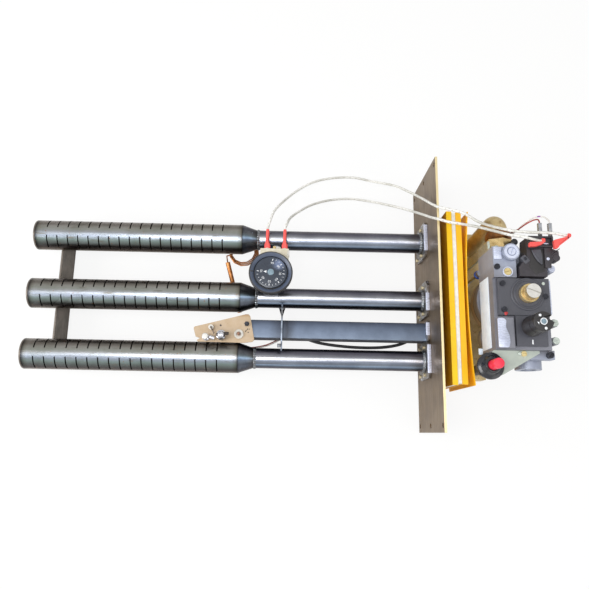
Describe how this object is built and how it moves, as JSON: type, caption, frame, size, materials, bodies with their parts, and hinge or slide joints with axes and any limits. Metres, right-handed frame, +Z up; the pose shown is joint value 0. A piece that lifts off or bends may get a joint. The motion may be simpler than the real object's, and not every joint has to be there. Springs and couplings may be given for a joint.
{
  "type": "boiler gas burner",
  "caption": "Atmospheric boiler gas burner: slotted burner tubes and a pilot on a steel front plate, with manifold, gas valve, igniter and thermostat.",
  "frame": {"origin": "middle of the front plate's boiler-side face, the centre of its fixing holes", "axes": "+X out of the boiler towards the gas valve, -X along the burner tubes, +Y across the tubes towards the terminals, +Z up"},
  "size_m": [0.7068, 0.3957, 0.226],
  "materials": {
    "plate_steel": "brushed, brownish",
    "head_steel": "bright drawn stainless",
    "tinted_steel": "heat tinted",
    "tube_steel": "mill finish",
    "screw_steel": "zinc plated and blackened",
    "dark_steel": "hot rolled",
    "chromated_steel": "yellow chromated",
    "bright_steel": "bright",
    "aluminium_tube": "drawn",
    "wire_sleeve": "flexible",
    "white_ceramic": "glazed",
    "electrode_wire": "heat tinted",
    "black_rubber": "matt",
    "yellow_sheet": "satin yellow",
    "white_board": "matt insulating board",
    "brass": "turned",
    "die_casting": "die cast",
    "dark_casting": "dark lacquer",
    "spring_steel": "bright wire",
    "cover_plastic": "dark grey",
    "black_plastic": "fine texture",
    "red_rubber": "soft red",
    "grey_sheet": "pale grey green",
    "red_plastic": "glossy red",
    "cream_plastic": "cream",
    "copper": "drawn copper",
    "white_sleeve": "glass fibre sleeve"
  },
  "bodies": {
    "burner": {"front_plate": "plate_steel", "burner_head_far": "head_steel", "burner_head_middle": "head_steel", "burner_head_near": "head_steel", "end_caps": "head_steel", "reducer_cones": "tinted_steel", "mixer_tubes": "tube_steel", "tube_flanges": "plate_steel", "weld_beads": "tinted_steel", "screws": "screw_steel", "rear_foot": "plate_steel", "tube_brace": "dark_steel", "pilot_carrier": "dark_steel", "pilot_bracket": "chromated_steel", "pilot_burner": "bright_steel", "pilot_gas_tube": "aluminium_tube", "thermopile": "bright_steel", "thermopile_lead": "wire_sleeve", "electrode_insulator": "white_ceramic", "spark_electrode": "electrode_wire", "ignition_lead": "black_rubber", "shield_front_leaf": "yellow_sheet", "shield_board": "white_board", "shield_outer_leaf": "yellow_sheet", "manifold": "chromated_steel", "injectors": "brass", "manifold_studs": "screw_steel", "gas_pipe": "chromated_steel", "union_nut": "chromated_steel", "valve_strap": "bright_steel", "valve_body": "die_casting", "diaphragm_cover": "dark_casting", "diaphragm": "black_rubber", "main_valve_spring": "spring_steel", "top_cover": "cover_plastic", "knob_spring": "spring_steel", "magnet_unit": "brass", "regulator_sleeve": "brass", "regulator_spring": "spring_steel", "operator_block": "black_plastic", "spade_terminals": "bright_steel", "terminal_boots": "red_rubber", "piezo_bracket": "grey_sheet", "piezo_body": "black_plastic", "piezo_spring": "spring_steel", "thermostat_case": "cream_plastic", "thermostat_bezel": "black_plastic", "capillary_bulb": "copper", "switch_lead_long": "white_sleeve", "switch_lead_short": "white_sleeve"},
    "knob_press": {"knob_collar": "spring_steel", "safety_valve": "black_rubber"},
    "knob": {"gas_knob": "black_plastic", "gas_spindle": "spring_steel"},
    "regulator_follower": {"regulator_seat": "spring_steel"},
    "regulator": {"regulator_screw": "aluminium_tube"},
    "pilot_adjuster": {"pilot_screw": "brass"},
    "main_valve_disc": {"main_valve": "black_rubber"},
    "igniter_button": {"piezo_button": "red_plastic"},
    "dial": {"thermostat_dial": "black_plastic"}
  },
  "joints": [
    {"name": "gas_knob_press", "type": "slide", "parent": "burner", "child": "knob_press", "axis": [0, 0, -1], "range_m": [0, 0.005], "stiffness_N_per_m": 600, "springref_m": -0.004, "deforming": ["knob_spring"]},
    {"name": "gas_knob_turn", "type": "hinge", "parent": "knob_press", "child": "knob", "pos_m": [0.096, -0.0575, 0.14], "axis": [0, 0, -1], "range_deg": [0, 150]},
    {"name": "regulator_feed", "type": "slide", "parent": "burner", "child": "regulator_follower", "axis": [0, 0, -1], "range_m": [0, 0.003], "deforming": ["regulator_spring"]},
    {"name": "regulator_turn", "type": "hinge", "parent": "regulator_follower", "child": "regulator", "pos_m": [0.0955, -0.017, 0.126], "axis": [0, 0, -1], "range_deg": [0, 1080]},
    {"name": "pilot_screw_turn", "type": "hinge", "parent": "burner", "child": "pilot_adjuster", "pos_m": [0.073, 0.011, 0.109], "axis": [0, 0, -1], "range_deg": [0, 540]},
    {"name": "main_valve_lift", "type": "slide", "parent": "burner", "child": "main_valve_disc", "axis": [0, 0, 1], "range_m": [0, 0.003], "stiffness_N_per_m": 300, "springref_m": -0.004, "deforming": ["main_valve_spring"]},
    {"name": "piezo_button_press", "type": "slide", "parent": "burner", "child": "igniter_button", "axis": [0, 0, -1], "range_m": [0, 0.006], "stiffness_N_per_m": 500, "springref_m": -0.004, "deforming": ["piezo_spring"]},
    {"name": "thermostat_dial_turn", "type": "hinge", "parent": "burner", "child": "dial", "pos_m": [-0.2195, 0.025, 0.033], "axis": [0, 0, -1], "range_deg": [0, 270]}
  ],
  "couplings": [
    {"joint": "regulator_turn", "follows": "regulator_feed", "rad_per_m": 6283.2}
  ]
}
